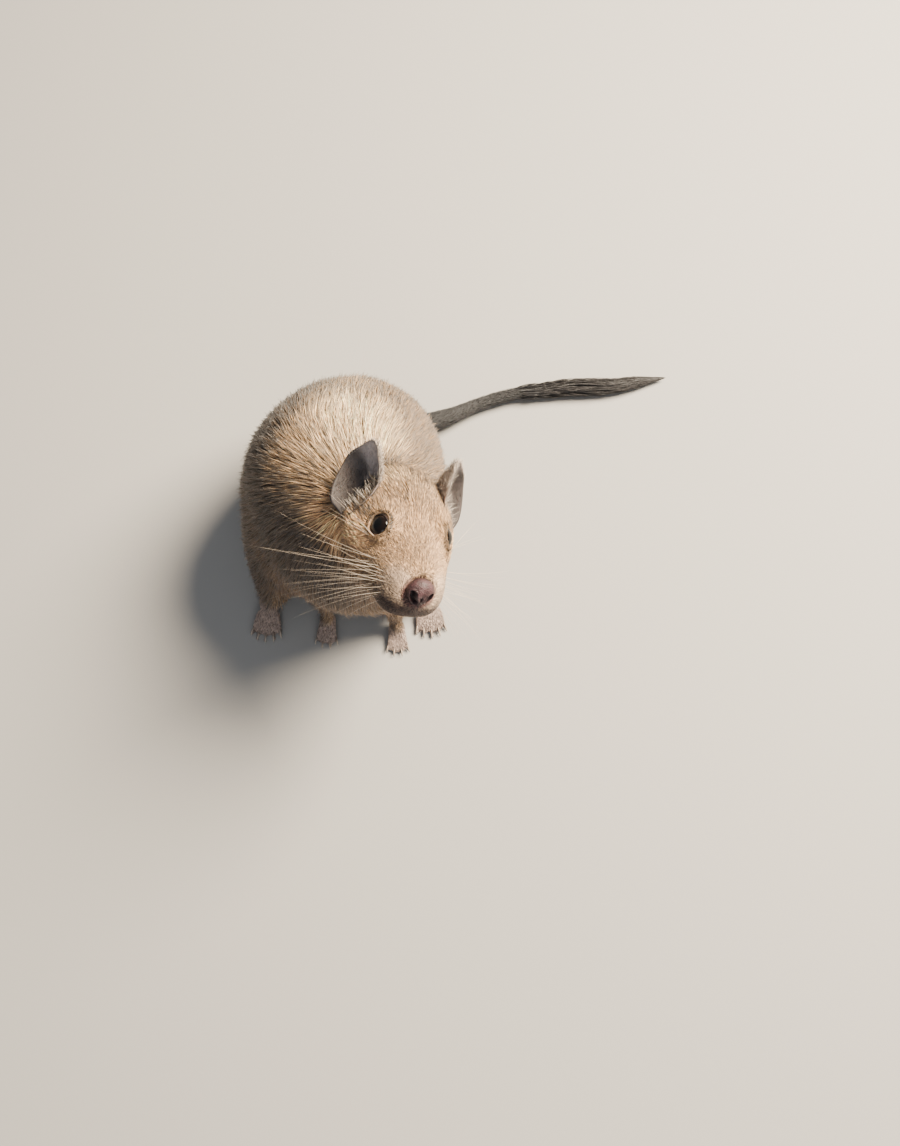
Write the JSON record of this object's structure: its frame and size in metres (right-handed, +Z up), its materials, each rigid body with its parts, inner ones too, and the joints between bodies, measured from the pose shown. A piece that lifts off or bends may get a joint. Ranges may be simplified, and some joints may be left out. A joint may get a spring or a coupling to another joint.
{
  "type": "degu",
  "caption": "Life-size model of a sitting rodent, its back rounded and its head turned, with thin cupped ears and a tail laid on the floor that ends in a black brush",
  "frame": {"origin": "middle of the bounding box, at the floor that the feet and the tail rest on", "axes": "+Z up, the animal's rump towards +Y and its head towards -Y, its left side towards +X, where the tail lies out"},
  "size_m": [0.1738, 0.1338, 0.1058],
  "materials": {
    "back_coat": "dense soft agouti fur, banded grey-brown and sand",
    "face_coat": "short close sand-buff fur",
    "belly_coat": "soft warm brown fur, shaded",
    "tail_coat": "short bristly dark grey fur",
    "brush_coat": "long black locks, slightly glossy",
    "ear_skin": "thin dark grey skin with a fine down",
    "foot_skin": "pale greyish skin under short hairs, matt",
    "nose_skin": "bare pinkish brown skin, finely grained, slightly moist",
    "eye": "black-brown, wet gloss"
  },
  "bodies": {
    "root": {"head": "face_coat", "eye_right": "eye", "eye_left": "eye", "nose": "nose_skin", "ear_right": "ear_skin", "ear_left": "ear_skin", "neck": "back_coat", "torso": "back_coat", "thigh_right": "back_coat", "thigh_left": "back_coat", "foreleg_right": "belly_coat", "foreleg_left": "belly_coat", "hind_foot_right": "foot_skin", "hind_foot_left": "foot_skin", "forepaw_right": "foot_skin", "forepaw_left": "foot_skin", "tail_base": "tail_coat", "tail_middle": "tail_coat", "tail_tip": "brush_coat"}
  },
  "joints": []
}
